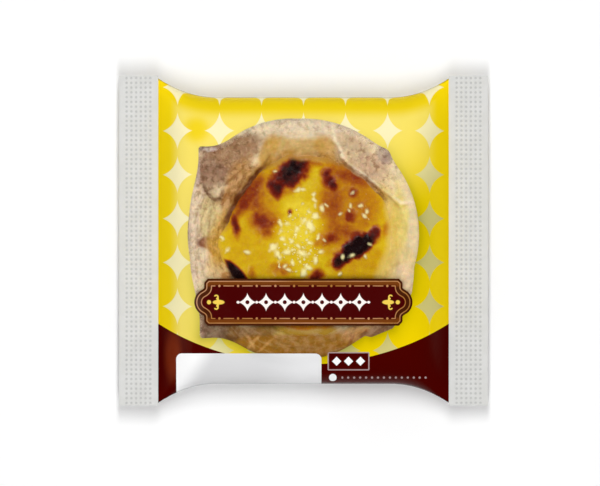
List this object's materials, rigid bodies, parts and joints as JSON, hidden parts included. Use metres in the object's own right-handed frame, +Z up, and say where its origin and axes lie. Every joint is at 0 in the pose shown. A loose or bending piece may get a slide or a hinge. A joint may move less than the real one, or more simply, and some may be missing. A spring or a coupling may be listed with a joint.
{
  "type": "egg tart in a pillow pack",
  "caption": "Baked egg tart sealed in a printed pillow pack: one film tube drawn over the tart, with a flat crimped seal at each end.",
  "frame": {"origin": "centre of the bounding box's base, on the surface that the pack rests on", "axes": "+X from end seal to end seal, towards the right of the front; +Y towards the top of the front; +Z up, out of the front"},
  "size_m": [0.1366, 0.122, 0.0286],
  "materials": {
    "printed_film": "glossy printed film",
    "clear_film": "clear glossy film",
    "seal_film": "crimped pale film",
    "pastry": "dry baked pastry",
    "custard": "glossy baked custard with burnt spots"
  },
  "bodies": {
    "root": {"pack": "printed_film"}
  },
  "joints": []
}
